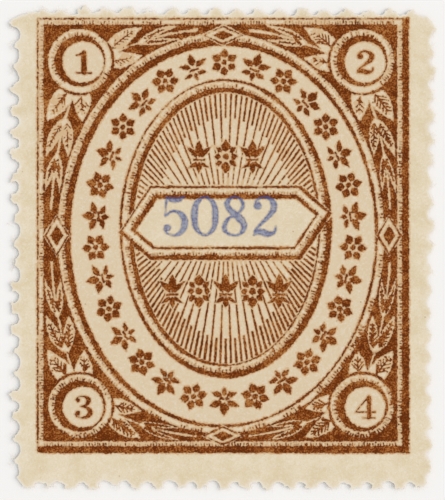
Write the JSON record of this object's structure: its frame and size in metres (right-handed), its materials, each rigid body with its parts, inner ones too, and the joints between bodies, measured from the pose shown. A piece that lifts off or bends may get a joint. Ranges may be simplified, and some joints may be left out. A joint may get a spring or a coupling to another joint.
{
  "type": "telegraph stamp",
  "caption": "Gummed paper telegraph stamp with a perforated edge, printed with a ruled border, corner roundels, an oval band of small flowers, a sunburst and a long tablet.",
  "frame": {"origin": "middle of the gummed back's outline, on the surface that the stamp lies on", "axes": "+X to the right of the printed face, +Y to its top, +Z out of the face"},
  "size_m": [0.0314, 0.0354, 0.0002],
  "materials": {
    "paper": "toned wove paper, matt",
    "gum": "dried gum, thin and glossy",
    "ink": "dull red-brown printing ink"
  },
  "bodies": {
    "root": {"gum_layer": "gum", "paper_sheet": "paper", "border_rule": "ink", "ground_top_left": "ink", "ground_top_right": "ink", "ground_bottom_left": "ink", "ground_bottom_right": "ink", "leaf_veins": "ink", "border_bosses": "ink", "roundel_top_left": "ink", "roundel_top_right": "ink", "roundel_bottom_left": "ink", "roundel_bottom_right": "ink", "oval_rule": "ink", "band_sprigs": "ink", "band_flowers": "ink", "arch_outer_rule_upper": "ink", "arch_outer_rule_lower": "ink", "arch_inner_rule_upper": "ink", "arch_inner_rule_lower": "ink", "rays_upper": "ink", "rays_lower": "ink", "tablet_outer_rule": "ink", "tablet_inner_rule": "ink", "ornaments_upper": "ink", "ornaments_lower": "ink"}
  },
  "joints": []
}
